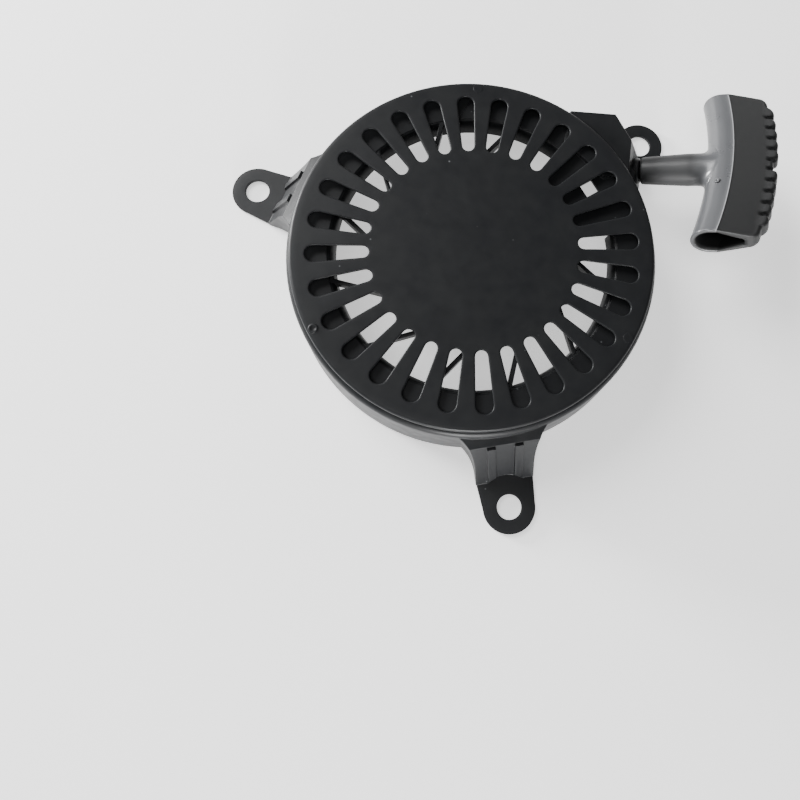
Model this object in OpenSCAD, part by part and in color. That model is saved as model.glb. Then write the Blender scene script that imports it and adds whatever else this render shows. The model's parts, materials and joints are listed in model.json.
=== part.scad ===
// Recoil starter of a small vertical-shaft engine.
// The origin is on the starter's axis, in the plane of the undersides of its three lugs.
// +Z points away from the engine and the starter rope is pulled out towards +X.

/* [Screen disc] */
// Diameter of the slotted screen disc
disc_d = 180; // [170:1:200]
// Thickness of the screen disc
disc_t = 1.2; // [0.8:0.1:2]
// Depth of the turned-down rim, from the top face
disc_rim = 3; // [2:0.5:3.5]
// Number of slots
slot_n = 28; // [20:1:30]
// Radius at the slots' outer tips
slot_outer_r = 82; // [78:0.5:83]
// Radius at the slots' inner tips
slot_inner_r = 51.4; // [50:0.2:56]
// Width of a slot near the rim
slot_outer_w = 8.5; // [6:0.5:9]
// Width of a slot near the middle
slot_inner_w = 6.2; // [4:0.2:7]

/* [Housing] */
// Height of the starter, from the mounting plane to the top of the screen disc
height = 44; // [42:0.5:52]
// Thickness of the housing's steel sheet
sheet = 1.6; // [1.2:0.1:2]
// Gap between the screen disc and the housing's top
disc_gap = 3.8; // [3.4:0.1:5]
// How far the wall stands outside the disc at the top
wall_ledge = 2.4; // [1.5:0.1:4]
// Outward lean of the wall, top to bottom
wall_draft = 2; // [1:0.5:4]
// Radius of the shoulder between top and wall
shoulder_r = 4; // [3:0.5:6]
// Radius of the plate that carries the centre post
hub_r = 49.5; // [48.5:0.1:50.5]
// Inner radius of the air window's outer lip
lip_r = 68.7; // [66:0.1:71]
// Depth of that lip
lip_h = 9; // [6:0.5:10]
// Number of struts across the air window, with those that the rope pocket hides
strut_n = 12; // [9:1:14]
// Thickness of a strut
strut_t = 2; // [1.6:0.1:3]
// Depth of a strut
strut_h = 6; // [4:0.5:8]
// Lean of a strut away from the radius, in degrees
strut_lean = 30; // [20:1:35]

/* [Lugs] */
// Diameter of the circle through the lug holes
lug_circle_d = 251.6; // [246:0.2:270]
// Diameter of a lug hole
lug_hole_d = 12.6; // [8:0.1:14]
// Width of a lug at its hole
lug_w = 26; // [24:0.5:30]
// Width of a lug at the foot of its shoulder
lug_foot_w = 30; // [29:0.5:34]
// Thickness of a lug pad
lug_t = 2; // [1.6:0.1:3]

/* [Rope and pulley] */
// Diameter of the starter rope
rope_d = 3.6; // [3:0.1:3.8]
// Spacing of the wound turns
rope_pitch = 3.8; // [3.8:0.1:4]
// Number of turns on the pulley
rope_turns = 4.7; // [3:0.1:4.7]
// Radius of the groove's floor
groove_r = 24; // [23.5:0.1:25]
// Width of the groove
groove_w = 5; // [4.6:0.1:5.4]
// Radius of the pulley's flanges
flange_r = 46.4; // [45.5:0.1:47]
// Thickness of a flange
flange_t = 1.6; // [1.2:0.1:1.8]
// Radius of the centre post
post_r = 6.1; // [5:0.1:6.4]
// Radial play of the pulley on the post
post_play = 0.05; // [0.02:0.01:0.1]

/* [Recoil spring] */
// Number of turns of the spring
spring_turns = 7; // [5:0.5:8]
// Thickness of the spring strip
spring_t = 0.6; // [0.4:0.1:0.7]
// Width of the spring strip
spring_w = 8.5; // [7:0.5:9]

/* [Ratchet] */
// Distance of a pawl's pivot from the axis
pawl_pivot_r = 20; // [19.8:0.1:20.5]
// Thickness of a pawl
pawl_h = 5; // [4:0.2:5]
// Length of a pawl, pivot to tip
pawl_l = 15; // [13:0.5:16]
// Radius of a pawl's pin
pawl_pin_r = 2; // [1.6:0.1:2.2]

/* [Handle] */
// Height of the rope guide's mouth
guide_z = 27; // [26.8:0.1:27.6]
// Upward tilt of the pull, in degrees
pull_tilt = 22.7; // [20:0.1:25]
// Turn of the grip about the pull, in degrees
grip_roll = -12; // [-20:1:20]
// Length of the grip
grip_l = 88; // [78:1:106]
// Depth of the grip, front to back
grip_depth = 34.6; // [33:0.2:42]
// Thickness of the grip at its front
grip_t = 19.6; // [18:0.2:24]
// Thickness of the grip at its back
grip_back_t = 10; // [8:0.2:13]
// Wall of the grip
grip_wall = 2.4; // [2:0.1:2.8]
// Bare length of the stem, guide to grip
stem_l = 34.4; // [28:0.2:42]
// Diameter of the stem at the guide
stem_d = 12.8; // [11:0.1:13.4]
// Number of ridges in each of the two groups on the grip's back
ridge_n = 5; // [3:1:5]

/* [Hidden] */

$fn = 96;
eps = 0.01;
weld = 0.06;
running_gap = 0.3;

// Screen disc and housing
disc_r = disc_d / 2;
slot_phase = -1;
top_z = height - disc_t - disc_gap;
ceiling_z = top_z - sheet;
wall_top_r = disc_r + wall_ledge;
wall_foot_r = wall_top_r + wall_draft;
lip_flare = 3.3;
strut_mid_r = 64;
sink = 0.3;
strut_phase = 25;
rivet_r = 2;
rivet_circle_r = disc_r - 4.4;
rivet_angles = [217.3, 337.3, 97.3];
rivet_boss_r = 2.6;
rivet_dome = 0.3;

// Pocket that carries the rope guide: its closed part of the air window, and its box
pocket_from = 17;
pocket_to = 56;
box_top_z = top_z + 1.8;
box_foot_z = 8;
window_w = 7;
window_at = [53.3, 43];
window_turn = 39;

// Lugs
lug_angles = [47.4, 167.4, 287.4];
lug_circle_r = lug_circle_d / 2;
lug_end_r = lug_circle_r + lug_w / 2 + 0.5;
lug_foot_r = lug_circle_r - 13.5;
flare_x = lug_foot_r - 6.3;
flare_meet_r = wall_top_r - 3;
lug_flare_r = (pow(flare_x, 2) + pow(lug_foot_w / 2, 2) - pow(flare_meet_r, 2))
    / (2 * flare_meet_r - lug_foot_w);
lug_ramp_top_r = wall_top_r + 3.6;
lug_ramp_top_z = top_z - 6;
lug_seat_r = 16.4;
bead_w = 4.2;
bead_h = 1.5;
bead_y = 6.8;

// Pull line. The mouth of the guide is the origin of everything on the handle.
mouth = [81.6, 63.7, guide_z];
face_back = 3.4;
face_wall = sheet * (cos(pull_tilt) + sin(pull_tilt));
bush_back = face_back + face_wall + 2.2;
guide_bore_r = rope_d / 2 + 0.7;
guide_flange_r = 6.8;
guide_shank_r = 4.6;
rope_z = guide_z - 2.5;

// Pulley, from the groove outwards
groove_lo = rope_z - groove_w / 2;
groove_hi = rope_z + groove_w / 2;
pulley_lo = groove_lo - flange_t;
pulley_hi = groove_hi + flange_t;
web_top = pulley_lo + 4;
drum_wall = 2;
cavity_r = groove_r - drum_wall;
cover_t = 1;
drum_top = ceiling_z - 1.4 - cover_t;
boss_r = 12;
boss_lo = pulley_lo - 5.8;
brake_recess_r = 7.2;
brake_recess_w = 3.2;
web_hole_circle_r = 35;
web_hole_r = 5.5;
brake_recess_h = 2.6;

// Rope on the pulley
coil_start_r = groove_r + rope_d / 2 + 0.3;
coil_end_r = coil_start_r + rope_pitch * rope_turns;
leave_angle = 101.6;
anchor_knot_r = 2.7;
rope_sides = 8;
rings_per_turn = 15;

// Post and its stack, from the pulley's boss downwards
arbour_r = 8.6;
arbour_lo = web_top + running_gap;
tenon_r = 4;
tenon_top = boss_lo + 0.2;
plate_t = 1.4;
plate_hi = boss_lo - 0.4;
plate_lo = plate_hi - plate_t;
washer_t = 1.4;
tenon_lo = plate_lo - 0.2;
washer_lo = tenon_lo - washer_t;
screw_r = 2.5;
screw_head_r = 4.6;
screw_head_h = 4;
screw_l = 14;
plate_r = 16.5;
washer_r = 9;
rivet_head_r = 9;

// Pawls
pawl_angles = [0, 180];
pawl_hi = pulley_lo - 1.2;
pawl_lo = pawl_hi - pawl_h;
pawl_hub_r = pawl_pin_r + 2;
pawl_set = 118;
pin_head_r = pawl_pin_r + 1;
pin_head_h = 0.6;

// Grip, measured along the pull from the guide's mouth
stem_gap = 0.4;
stem_bore_r = rope_d / 2 + 0.4;
stem_root_d = stem_d + 3;
grip_bow = 5.2;
grip_front_r = grip_t / 2;
grip_shoulder = 3;
grip_x = stem_l + grip_front_r;
grip_back_x = stem_l + grip_depth;
bow_r = (grip_l * grip_l / 4 + grip_bow * grip_bow) / (2 * grip_bow);
ridge_pitch = 6.9;
ridge_r = 3.4;
ridge_rise = 1.6;
ridge_gap = 3;
notch_w = 2.2;
notch_l = 3.6;
notch_h = 1.8;
grip_corner_r = 5;
knot_r = 4.2;
seat_t = 1.2;
seat_r = 5.4;
cavity_front_r = grip_front_r - grip_wall;
seat_x = stem_l + grip_wall + cavity_front_r - sqrt(pow(cavity_front_r, 2) - pow(seat_r, 2)) + 0.05;

STEEL_BLACK = "#1b1c1e";
STEEL_BARE = "#8d9093";
SPRING_STEEL = "#4a4f57";
PLASTIC_BLACK = "#2a2b2d";
PLASTIC_GREY = "#3c3d40";
ROPE_GREY = "#6f7072";
ZINC = "#b9b7ac";

// One ring of points round a tube at point p, square to direction d
function unit(v) = v / norm(v);
function side_of(d) = unit(cross(d, [0.02, 0.03, 1]));
function ring(p, d, r, n) = [
    for (i = [0:n - 1])
        p + r * (cos(360 * i / n) * side_of(d) + sin(360 * i / n) * cross(unit(d), side_of(d)))
];
function heading(path, i) =
    i == 0 ? path[1] - path[0]
    : i == len(path) - 1 ? path[i] - path[i - 1]
    : path[i + 1] - path[i - 1];

// A round tube swept along a path, closed at both ends
module tube(path, r, n = rope_sides) {
    rings = len(path);
    points = [for (i = [0:rings - 1]) each ring(path[i], heading(path, i), r, n)];
    sides = [
        for (i = [0:rings - 2], j = [0:n - 1])
            [(i + 1) * n + j, (i + 1) * n + (j + 1) % n, i * n + (j + 1) % n, i * n + j]
    ];
    start = [for (j = [0:n - 1]) j];
    end = [for (j = [n - 1:-1:0]) (rings - 1) * n + j];
    polyhedron(points = points, faces = concat([start], sides, [end]));
}

// Children drawn along +Z come out along the pull, from the guide's mouth
module on_pull() {
    translate(mouth) rotate([0, 90 - pull_tilt, 0]) children();
}

// Children drawn in the handle's own axes: X along the pull, Y along the grip
module on_handle() {
    translate(mouth) rotate([0, -pull_tilt, 0]) rotate([grip_roll, 0, 0]) children();
}

// ---- Screen disc ----

// A slot with round ends; its straight sides cross the end circles a hair inside their widest
module slot_outline() {
    ro = slot_outer_w / 2;
    ri = slot_inner_w / 2;
    xo = slot_outer_r - ro;
    xi = slot_inner_r + ri;
    translate([xo, 0]) circle(r = ro);
    translate([xi, 0]) circle(r = ri);
    polygon([
        [xi, ri - weld], [xo, ro - weld], [xo, -ro + weld], [xi, -ri + weld]
    ]);
}

// Half section of the disc with its rolled rim
module disc_section() {
    bend = disc_t + 0.6;
    xc = disc_r - bend;
    zc = height - bend;
    polygon(concat(
        [[0, height - disc_t]],
        [for (a = [90:-15:0]) [xc + 0.6 * cos(a), zc + 0.6 * sin(a)]],
        [[disc_r - disc_t, height - disc_rim], [disc_r, height - disc_rim]],
        [for (a = [0:15:90]) [xc + bend * cos(a), zc + bend * sin(a)]],
        [[0, height]]
    ));
}

module screen_disc() {
    color(STEEL_BLACK) difference() {
        rotate_extrude() disc_section();
        for (i = [0:slot_n - 1])
            rotate(slot_phase + i * 360 / slot_n)
                translate([0, 0, height - disc_t - 1]) linear_extrude(disc_t + 2) slot_outline();
        for (a = rivet_angles)
            rotate(a) translate([rivet_circle_r, 0, top_z]) cylinder(r = rivet_r, h = height);
    }
}

module screen_rivets() {
    color(STEEL_BARE) for (a = rivet_angles) rotate(a) translate([rivet_circle_r, 0, 0]) {
        translate([0, 0, ceiling_z]) cylinder(r = rivet_r, h = height - ceiling_z);
        translate([0, 0, height]) cylinder(r = rivet_r + 0.6, h = rivet_dome);
        translate([0, 0, ceiling_z - 0.8]) cylinder(r = rivet_r + 0.8, h = 0.8);
    }
}

// ---- Housing ----

// Half section of the cup as a solid: inset 0 gives the outside, inset sheet the inside
module cup_section(inset) {
    r_top = wall_top_r - inset;
    r_foot = wall_foot_r - inset;
    corner = shoulder_r - inset;
    z_top = top_z - inset;
    polygon(concat(
        [[0, lug_t - inset], [r_foot, lug_t - inset]],
        [for (a = [0:15:90]) [r_top - corner + corner * cos(a), z_top - corner + corner * sin(a)]],
        [[0, z_top]]
    ));
}

// Plan of a lug's shoulder: its sides flare out on arcs that run into the wall
module lug_outline(inset) {
    half = lug_foot_w / 2;
    flare_y = half + lug_flare_r;
    difference() {
        polygon([
            [0, 0], [flare_x, flare_y], [flare_x, half - inset], [lug_foot_r - inset, half - inset],
            [lug_foot_r - inset, -half + inset], [flare_x, -half + inset], [flare_x, -flare_y]
        ]);
        for (s = [-1, 1]) translate([flare_x, s * flare_y]) circle(r = lug_flare_r + inset);
    }
}

module lug_pad_outline() {
    pad_start = lug_circle_r - lug_seat_r - 1;
    half = lug_foot_w / 2 - 0.3;
    end_half = lug_end_r - lug_circle_r - weld;
    translate([lug_circle_r, 0]) circle(r = lug_end_r - lug_circle_r);
    polygon([
        [pad_start, half], [lug_foot_r, half], [lug_circle_r, end_half],
        [lug_circle_r, -end_half], [lug_foot_r, -half], [pad_start, -half]
    ]);
}

// Side section of a lug's shoulder, which ramps from its pad up to the wall
module lug_side(inset) {
    back = wall_top_r - 20;
    polygon([
        [back, inset > 0 ? -1 : 0.3], [lug_foot_r - inset, inset > 0 ? -1 : 0.3],
        [lug_foot_r - inset, lug_t - inset], [lug_ramp_top_r - inset, lug_ramp_top_z - inset],
        [wall_top_r - 2 - inset, lug_ramp_top_z + 2.5 - inset], [back, lug_ramp_top_z + 2.5 - inset]
    ]);
}

// The shoulder, cut back round the hole so that a washer lies flat
module lug_shoulder(inset) {
    difference() {
        intersection() {
            translate([0, 0, -2]) linear_extrude(height) lug_outline(inset);
            translate([0, lug_foot_w * 2, 0]) rotate([90, 0, 0])
                linear_extrude(lug_foot_w * 4) lug_side(inset);
        }
        translate([lug_circle_r, 0, inset > 0 ? -3 : lug_t - sink])
            cylinder(r = lug_seat_r + inset, h = height);
    }
}

// Two flat-topped ribs that stiffen the ramp
module lug_beads() {
    rise = lug_ramp_top_z - lug_t;
    run = lug_foot_r - lug_ramp_top_r;
    difference() {
        for (y = [-bead_y, bead_y])
            translate([lug_foot_r, y, lug_t]) rotate([0, -atan2(run, rise), 0])
                translate([-sheet / 2, -bead_w / 2, 1.6])
                    cube([sheet / 2 + bead_h, bead_w, norm([rise, run]) * 0.93]);
        translate([lug_circle_r, 0, 0]) cylinder(r = lug_seat_r - 0.4, h = height);
    }
}

// Where the face that holds the rope guide lies at a height; it is square to the pull
function face_x(z) = mouth[0] - face_back / cos(pull_tilt) - (z - guide_z) * tan(pull_tilt);

module box_outline(low) {
    x_top = face_x(box_top_z);
    x_foot = face_x(box_foot_z);
    polygon(low
        ? [[30, 60], [34, 93], [x_foot - 17, 94], [x_foot, 77], [x_foot, 44], [60, 40]]
        : [[38, 66], [38.8, 84], [x_top - 9.8, 86.3], [x_top, 72.9], [x_top, 55], [60, 50]]);
}

module guide_box(inset) {
    hull() {
        translate([0, 0, box_top_z - inset - eps])
            linear_extrude(eps) offset(delta = -inset) box_outline(false);
        translate([0, 0, box_foot_z - inset]) linear_extrude(eps) offset(delta = -inset) box_outline(true);
    }
}

module air_window() {
    rotate(pocket_to) rotate_extrude(angle = 360 - pocket_to + pocket_from)
        translate([hub_r, ceiling_z - 1]) square([lip_r + lip_flare - hub_r, sheet + 2]);
}

// The window's outer edge, drawn down. It reaches a little way into the flange and the pocket.
module window_lip() {
    rotate(pocket_to - 0.5) rotate_extrude(angle = 361 - pocket_to + pocket_from) polygon([
        [lip_r + lip_flare + 1, top_z - sink], [lip_r + lip_flare - 0.6, top_z - sink],
        [lip_r + 1, top_z - 2.4], [lip_r, top_z - lip_h],
        [lip_r + sheet, top_z - lip_h], [lip_r + sheet + 0.8, top_z - 3.2],
        [lip_r + lip_flare + 1, ceiling_z + sink]
    ]);
}

module struts() {
    inward = 18.4;
    outward = 9;
    for (i = [0:strut_n - 1]) {
        a = strut_phase + i * 360 / strut_n;
        if (a < pocket_from || a > pocket_to)
            rotate(a) translate([strut_mid_r, 0, top_z - sink - strut_h]) rotate(-strut_lean)
                translate([-inward, -strut_t / 2, 0]) cube([inward + outward, strut_t, strut_h]);
    }
}

module hub_lip() {
    rotate_extrude() translate([hub_r - sheet - 0.2, top_z - strut_h / 2 - 1]) square([sheet, strut_h / 2]);
}

module housing() {
    color(STEEL_BLACK) difference() {
        union() {
            difference() {
                union() {
                    rotate_extrude() cup_section(0);
                    for (a = lug_angles) rotate(a) {
                        lug_shoulder(0);
                        lug_beads();
                    }
                    guide_box(0);
                }
                rotate_extrude() cup_section(sheet);
                for (a = lug_angles) rotate(a) lug_shoulder(sheet);
                guide_box(sheet);
                air_window();
            }
            window_lip();
            hub_lip();
            struts();
            for (a = lug_angles) rotate(a) linear_extrude(lug_t) lug_pad_outline();
            for (a = rivet_angles)
                rotate(a) translate([rivet_circle_r, 0, ceiling_z + sink])
                    cylinder(r = rivet_boss_r, h = height - disc_t - ceiling_z - sink);
        }
        for (a = lug_angles)
            rotate(a) translate([lug_circle_r, 0, -1]) cylinder(d = lug_hole_d, h = lug_t + 2);
        for (a = rivet_angles)
            rotate(a) translate([rivet_circle_r, 0, ceiling_z - 1]) cylinder(r = rivet_r, h = height);
        translate([0, 0, ceiling_z - 1]) cylinder(r = post_r, h = sheet + 2);
        translate([window_at[0], window_at[1], ceiling_z - 1]) rotate(window_turn)
            translate([-window_w / 2, -window_w / 2, 0]) cube([window_w, window_w, sheet + 2]);
        on_pull() translate([0, 0, -face_back - 6]) cylinder(r = guide_shank_r, h = 12);
        on_pull() translate([0, 0, -face_back]) cylinder(r = guide_flange_r + 0.8, h = 20);
    }
}

// ---- Post, screw and washer ----

module centre_post() {
    bore_l = screw_l - washer_t + 1;
    color(STEEL_BARE) difference() {
        union() {
            translate([0, 0, ceiling_z - 1.4]) cylinder(r = arbour_r + 3, h = 1.4);
            translate([0, 0, arbour_lo]) cylinder(r = arbour_r, h = ceiling_z - arbour_lo);
            translate([0, 0, tenon_top]) cylinder(r = post_r, h = top_z - tenon_top);
            translate([0, 0, top_z]) cylinder(r1 = rivet_head_r, r2 = rivet_head_r - 1.4, h = 1.8);
            translate([0, 0, tenon_lo]) cylinder(r = tenon_r, h = tenon_top - tenon_lo + eps);
        }
        translate([0, 0, tenon_lo - 1]) cylinder(r = screw_r, h = bore_l + 1);
    }
}

module centre_screw() {
    color(ZINC) difference() {
        union() {
            translate([0, 0, washer_lo]) cylinder(r = screw_r, h = screw_l);
            translate([0, 0, washer_lo - 0.8]) cylinder(r = screw_head_r + 1, h = 0.8);
            translate([0, 0, washer_lo - screw_head_h]) cylinder(r = screw_head_r, h = screw_head_h, $fn = 6);
        }
        translate([0, 0, washer_lo - screw_head_h - 1]) cylinder(r = 2.2, h = 1.8);
    }
}

module retaining_washer() {
    color(ZINC) translate([0, 0, washer_lo]) difference() {
        cylinder(r = washer_r, h = washer_t);
        translate([0, 0, -1]) cylinder(r = screw_r, h = washer_t + 2);
    }
}

// An open ring of wire that presses the cam plate down; it is less than one turn
module brake_spring() {
    wire_r = 0.6;
    coil_r = brake_recess_r + 1.4;
    turn = 320;
    rings = 40;
    play = 0.2;
    rise = boss_lo + brake_recess_h - plate_hi - 2 * (wire_r + play);
    path = [
        for (i = [0:rings])
            let (a = turn * i / rings)
            [coil_r * cos(a), coil_r * sin(a), plate_hi + wire_r + play + rise * i / rings]
    ];
    color(SPRING_STEEL) tube(path, wire_r);
}

// ---- Rope guide and rope ----

// A flanged bush with a rounded lip at its mouth; its inner end is riveted over behind the sheet
module rope_guide() {
    front = -0.2;
    lip = 1.2;
    entry = 3.6;
    color(STEEL_BARE) on_pull() rotate_extrude() difference() {
        union() {
            translate([0, -face_back]) square([guide_flange_r - lip, face_back + front]);
            translate([0, -face_back]) square([guide_flange_r, face_back + front - lip]);
            translate([guide_flange_r - lip, front - lip]) circle(r = lip);
            translate([0, -bush_back]) square([guide_shank_r, bush_back]);
            translate([0, -bush_back]) square([guide_shank_r + lip, bush_back - face_back - face_wall]);
        }
        translate([0, -bush_back - 1]) square([guide_bore_r, bush_back + 2]);
        translate([0, -bush_back - 1]) polygon([
            [0, 0], [guide_shank_r - 0.2, 0], [guide_shank_r - 0.2, lip], [guide_bore_r, entry], [0, entry]
        ]);
        translate([0, front - 2]) polygon([
            [0, 0], [guide_bore_r, 0], [guide_shank_r, 2.2], [guide_shank_r, 3], [0, 3]
        ]);
    }
}

// Turns of rope on the pulley, from the anchor at the groove's floor out to where it leaves
module rope_coil() {
    steps = ceil(rope_turns * rings_per_turn);
    path = [
        for (i = [0:steps])
            let (t = rope_turns * i / steps, r = coil_start_r + rope_pitch * t,
                a = leave_angle + 360 * (rope_turns - t))
            [r * cos(a), r * sin(a), rope_z]
    ];
    color(ROPE_GREY) tube(path, rope_d / 2);
}

// The rope's straight run from the pulley, its bend in the guide and its way out to the stem
lead_start = [coil_end_r * cos(leave_angle), coil_end_r * sin(leave_angle), rope_z];
pull_dir = [cos(pull_tilt), 0, sin(pull_tilt)];
guide_in = mouth - 7.5 * pull_dir;
lead_path = [
    lead_start + 0.22 * (guide_in - lead_start),
    lead_start + 0.45 * (guide_in - lead_start),
    lead_start + 0.7 * (guide_in - lead_start),
    lead_start + 0.93 * (guide_in - lead_start),
    guide_in + [0.6, 0.1, 0.1],
    mouth - 4.5 * pull_dir,
    mouth
];

module rope_lead() {
    color(ROPE_GREY) tube(lead_path, rope_d / 2);
}

module rope_tail() {
    color(ROPE_GREY) on_handle() rotate([0, 90, 0])
        translate([0, 0, stem_gap]) cylinder(r = rope_d / 2, h = seat_x + seat_t - stem_gap);
}

// ---- Recoil spring ----

module recoil_spring() {
    start_r = arbour_r + spring_t;
    pitch = (cavity_r - 1 - start_r) / spring_turns;
    steps = round(spring_turns * 24);
    inner = [
        for (i = [0:steps])
            let (a = -360 * spring_turns * i / steps, r = start_r + pitch * spring_turns * i / steps)
            [r * cos(a), r * sin(a)]
    ];
    outer = [
        for (i = [steps:-1:0])
            let (a = -360 * spring_turns * i / steps,
                r = start_r + pitch * spring_turns * i / steps + spring_t)
            [r * cos(a), r * sin(a)]
    ];
    color(SPRING_STEEL) translate([0, 0, web_top + 0.5]) linear_extrude(spring_w)
        polygon(concat(inner, outer));
}

// ---- Pulley ----

module pulley() {
    color(PLASTIC_BLACK) difference() {
        rotate_extrude() difference() {
            union() {
                translate([0, pulley_lo]) square([flange_r, flange_t]);
                translate([0, groove_hi]) square([flange_r, flange_t]);
                translate([0, pulley_lo]) square([groove_r, drum_top - pulley_lo]);
                translate([0, boss_lo]) square([boss_r, pulley_lo - boss_lo + eps]);
            }
            translate([-1, boss_lo - 1]) square([post_r + post_play + 1, height]);
            translate([-1, web_top]) square([cavity_r + 1, height]);
            translate([brake_recess_r, boss_lo - 1]) square([brake_recess_w, brake_recess_h + 1]);
        }
        for (a = pawl_angles) rotate(a)
            translate([pawl_pivot_r, 0, pulley_lo - 1]) cylinder(r = pawl_pin_r, h = 4);
        at_anchor() translate([0, 0, groove_hi - 1]) cylinder(r = rope_d / 2, h = flange_t + 2);
        for (i = [0:5])
            rotate(i * 60 + 30) translate([web_hole_circle_r, 0, pulley_lo - 1])
                cylinder(r = web_hole_r, h = flange_t + 2);
    }
}

module spring_cover() {
    color(STEEL_BARE) translate([0, 0, drum_top]) difference() {
        cylinder(r = groove_r, h = cover_t);
        translate([0, 0, -1]) cylinder(r = arbour_r + 3 + running_gap * 2, h = cover_t + 2);
    }
}

// The rope's inner end comes up through the upper flange and is knotted on top of it
module at_anchor() {
    r = groove_r + anchor_knot_r + 0.1;
    rotate(leave_angle + 360 * rope_turns + 9.6) translate([r, 0, 0]) children();
}

module pulley_knot() {
    color(ROPE_GREY) at_anchor() {
        translate([0, 0, pulley_hi + anchor_knot_r]) sphere(r = anchor_knot_r);
        translate([0, 0, groove_hi]) cylinder(r = rope_d / 2, h = flange_t + 1);
    }
}

// ---- Ratchet ----

module pawl_pins() {
    color(STEEL_BARE) for (a = pawl_angles) rotate(a) translate([pawl_pivot_r, 0, 0]) {
        translate([0, 0, pawl_lo - 0.2]) cylinder(r = pawl_pin_r, h = pulley_lo + 3 - pawl_lo + 0.2);
        translate([0, 0, pawl_lo - 0.2 - pin_head_h]) cylinder(r = pin_head_r, h = pin_head_h);
    }
}

// A short coil round the pin, with one leg on the pulley and one behind the pawl
module pawl_spring(a) {
    wire_r = 0.25;
    coil_r = pawl_pin_r + 0.7;
    turn = [for (i = [0:16]) [coil_r * cos(i * 22.5), coil_r * sin(i * 22.5), 0.5 * i / 16]];
    path = concat([[coil_r, -6, 0]], turn, [[coil_r, 5, 0.5]]);
    color(SPRING_STEEL) rotate(a) translate([pawl_pivot_r, 0, pulley_lo - 0.85]) tube(path, wire_r, 6);
}

module pawl(a) {
    bore_r = pawl_pin_r + post_play;
    color(PLASTIC_GREY) rotate(a) translate([pawl_pivot_r, 0, pawl_lo]) difference() {
        rotate(-pawl_set) union() {
            cylinder(r = pawl_hub_r, h = pawl_h);
            linear_extrude(pawl_h) polygon([
                [1, pawl_hub_r - 0.6], [pawl_l * 0.6, pawl_hub_r - 0.4], [pawl_l, pawl_hub_r + 0.4],
                [pawl_l + 0.4, pawl_hub_r - 3], [pawl_l * 0.7, -pawl_hub_r * 0.4], [1, -pawl_hub_r + 0.6]
            ]);
        }
        translate([0, 0, -1]) cylinder(r = bore_r, h = pawl_h + 2);
    }
}

// A plate with two scallops and two ears, which swing the pawls out as it turns
module cam_plate() {
    ear_r = 13;
    ear_t = 1.6;
    ear_h = 4;
    scallop_r = 7;
    color(ZINC) difference() {
        union() {
            translate([0, 0, plate_lo]) cylinder(r = plate_r, h = plate_t);
            for (a = pawl_angles) rotate(a + 40) rotate_extrude(angle = 26)
                translate([ear_r, plate_lo]) square([ear_t, plate_t + ear_h]);
        }
        translate([0, 0, plate_lo - 1]) cylinder(r = tenon_r + post_play, h = plate_t + 2);
        for (a = pawl_angles) rotate(a + 90) translate([plate_r + 3, 0, plate_lo - 1])
            cylinder(r = scallop_r, h = plate_t + 2);
    }
}

// ---- Handle ----

// Section of the grip across its length: half-round front, flats that taper to the back
module grip_section(inset) {
    r = grip_front_r - inset;
    back_half = grip_back_t / 2 - inset;
    back_r = min(2.4, back_half * 0.6);
    back_x = grip_back_x - (inset > 0 ? inset * 3 : 0);
    intersection() {
        union() {
            translate([grip_x, 0]) circle(r = r);
            polygon([
                [grip_x, r], [grip_x + grip_shoulder, r - 0.15], [back_x - back_r, back_half],
                [back_x, back_half - back_r], [back_x, -back_half + back_r],
                [back_x - back_r, -back_half], [grip_x + grip_shoulder, -r + 0.15], [grip_x, -r]
            ]);
        }
        translate([0, -grip_t]) square([grip_back_x + 1, 2 * grip_t]);
    }
}

// The section carried along the grip's bow
module grip_sweep(inset, reach) {
    translate([-bow_r, 0, 0]) rotate(-reach) rotate_extrude(angle = 2 * reach, $fn = 200)
        translate([bow_r, 0]) grip_section(inset);
}

module grip_plan() {
    half = grip_l / 2;
    x_back = grip_back_x + ridge_r;
    c = grip_corner_r;
    difference() {
        translate([0, -half]) square([x_back, grip_l]);
        for (s = [-1, 1]) translate([grip_back_x - grip_bow - c / 2, s * (half - c)]) difference() {
            translate([0, s > 0 ? 0 : -c * 2]) square([c * 4, c * 2]);
            circle(r = c);
        }
    }
}

// Children drawn at the grip's back come out a distance s along its bow
module on_back(s) {
    translate([-bow_r, 0, 0]) rotate(s * 180 / PI / (bow_r + grip_back_x))
        translate([bow_r + grip_back_x, 0, 0]) children();
}

module grip_ridges() {
    for (side = [-1, 1], i = [0:ridge_n - 1])
        on_back(side * (ridge_gap + (i + 0.5) * ridge_pitch))
            translate([ridge_rise - ridge_r, 0, -grip_back_t / 2 + 0.4])
                cylinder(r = ridge_r, h = grip_back_t - 0.8, $fn = 48);
}

// Notches in the edges of the back, between the ridges
module grip_notches() {
    for (side = [-1, 1], face = [-1, 1], i = [0:ridge_n - 1])
        on_back(side * (ridge_gap + i * ridge_pitch))
            translate([-notch_l / 2 - 0.5, 0, face * grip_back_t / 2])
                cube([notch_l, notch_w, 2 * notch_h], center = true);
}

module stem() {
    flare = 7;
    root_r = stem_root_d / 2;
    rotate([0, 90, 0]) {
        translate([0, 0, stem_gap]) cylinder(d1 = stem_d, d2 = stem_root_d, h = stem_l - stem_gap);
        translate([0, 0, stem_l - eps]) cylinder(r = root_r, h = grip_front_r);
        rotate_extrude() difference() {
            translate([0, stem_l - flare + 3]) square([root_r + flare * 0.45, flare]);
            translate([root_r + flare, stem_l - flare + 3]) circle(r = flare);
        }
    }
}

module handle_grip() {
    color(PLASTIC_GREY) on_handle() difference() {
        union() {
            intersection() {
                union() {
                    grip_sweep(0, 16);
                    grip_ridges();
                }
                translate([0, 0, -grip_t]) linear_extrude(2 * grip_t) grip_plan();
            }
            stem();
        }
        grip_sweep(grip_wall, 17);
        grip_notches();
        rotate([0, 90, 0]) translate([0, 0, -1]) cylinder(r = stem_bore_r, h = grip_x);
    }
}

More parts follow.
